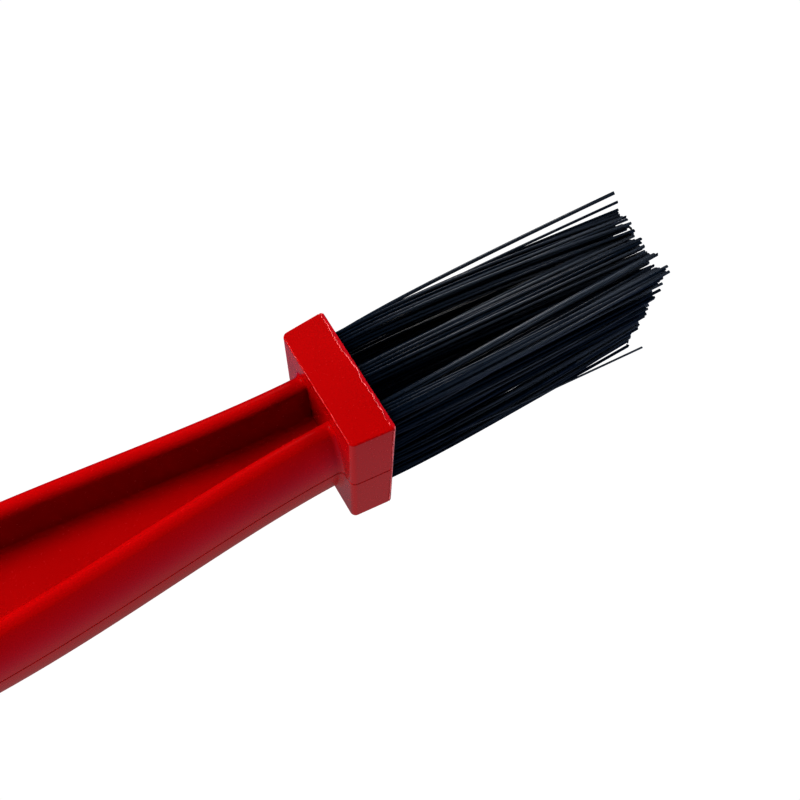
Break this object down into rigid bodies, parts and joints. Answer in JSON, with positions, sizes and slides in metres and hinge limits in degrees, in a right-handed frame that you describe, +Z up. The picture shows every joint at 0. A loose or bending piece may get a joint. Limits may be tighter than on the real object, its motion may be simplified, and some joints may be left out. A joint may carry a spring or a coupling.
{
  "type": "chain cleaning brush",
  "caption": "Hand brush with an I-section plastic handle, a block of long stiff bristles at its front, and a bristled yoke that closes round a chain at its back.",
  "frame": {"origin": "middle of the brush in length and width, on the surface that the head block and the yoke rest on", "axes": "+X along the handle towards the long bristles, +Y across the yoke, +Z up from the resting surface"},
  "size_m": [0.2676, 0.06, 0.04],
  "materials": {
    "red_plastic": "moulded polypropylene, satin to glossy",
    "black_nylon": "drawn nylon filament, semi-gloss",
    "staple_steel": "flat drawn wire"
  },
  "bodies": {
    "root": {"handle": "red_plastic", "long_tuft_01": "black_nylon", "long_tuft_02": "black_nylon", "long_tuft_03": "black_nylon", "long_tuft_04": "black_nylon", "long_tuft_05": "black_nylon", "long_tuft_06": "black_nylon", "long_tuft_07": "black_nylon", "long_tuft_08": "black_nylon", "long_tuft_09": "black_nylon", "long_tuft_10": "black_nylon", "long_tuft_11": "black_nylon", "long_tuft_12": "black_nylon", "long_tuft_13": "black_nylon", "long_tuft_14": "black_nylon", "long_tuft_15": "black_nylon", "chain_tuft_01": "black_nylon", "chain_tuft_02": "black_nylon", "chain_tuft_03": "black_nylon", "chain_tuft_04": "black_nylon", "chain_tuft_05": "black_nylon", "chain_tuft_06": "black_nylon", "chain_tuft_07": "black_nylon", "chain_tuft_08": "black_nylon", "chain_tuft_09": "black_nylon", "chain_tuft_10": "black_nylon", "chain_tuft_11": "black_nylon", "chain_tuft_12": "black_nylon", "chain_tuft_13": "black_nylon", "chain_tuft_14": "black_nylon", "long_staple_01": "staple_steel", "long_staple_02": "staple_steel", "long_staple_03": "staple_steel", "long_staple_04": "staple_steel", "long_staple_05": "staple_steel", "long_staple_06": "staple_steel", "long_staple_07": "staple_steel", "long_staple_08": "staple_steel", "long_staple_09": "staple_steel", "long_staple_10": "staple_steel", "long_staple_11": "staple_steel", "long_staple_12": "staple_steel", "long_staple_13": "staple_steel", "long_staple_14": "staple_steel", "long_staple_15": "staple_steel", "chain_staple_01": "staple_steel", "chain_staple_02": "staple_steel", "chain_staple_03": "staple_steel", "chain_staple_04": "staple_steel", "chain_staple_05": "staple_steel", "chain_staple_06": "staple_steel", "chain_staple_07": "staple_steel", "chain_staple_08": "staple_steel", "chain_staple_09": "staple_steel", "chain_staple_10": "staple_steel", "chain_staple_11": "staple_steel", "chain_staple_12": "staple_steel", "chain_staple_13": "staple_steel", "chain_staple_14": "staple_steel"}
  },
  "joints": []
}
